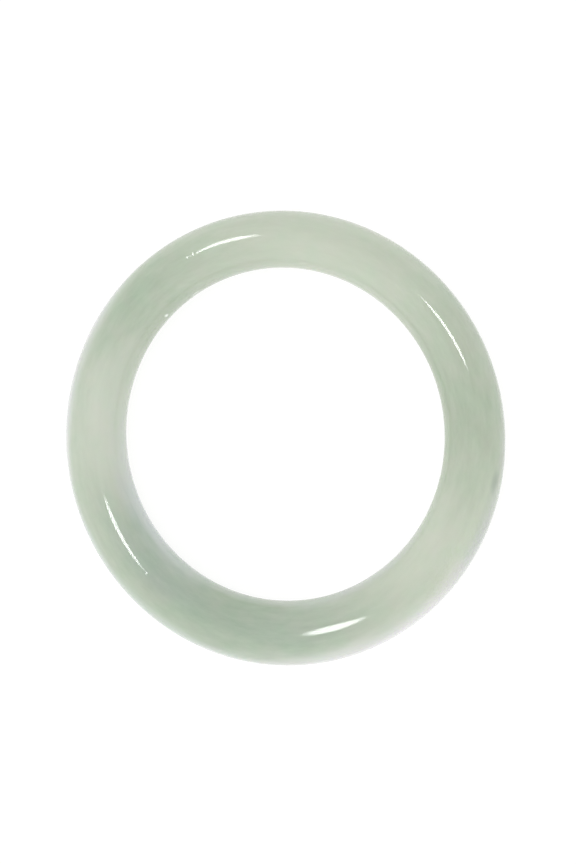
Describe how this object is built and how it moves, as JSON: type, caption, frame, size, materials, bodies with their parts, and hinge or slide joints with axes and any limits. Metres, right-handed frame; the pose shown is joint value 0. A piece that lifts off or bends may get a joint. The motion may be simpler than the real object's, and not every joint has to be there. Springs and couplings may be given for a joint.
{
  "type": "jade finger ring",
  "caption": "Plain one-piece finger ring of polished pale green jade, a nearly round rod bent into a closed hoop, with an eased bore for comfort.",
  "frame": {"origin": "on the bore's axis, halfway across the band", "axes": "+Z along the bore's axis, upward as the ring lies on its side; +Y towards the thinnest part of the wall"},
  "size_m": [0.0236, 0.0235, 0.0028],
  "materials": {
    "jade": "polished nephrite, pale celadon green with milky clouds"
  },
  "bodies": {
    "root": {"jade_ring": "jade"}
  },
  "joints": []
}
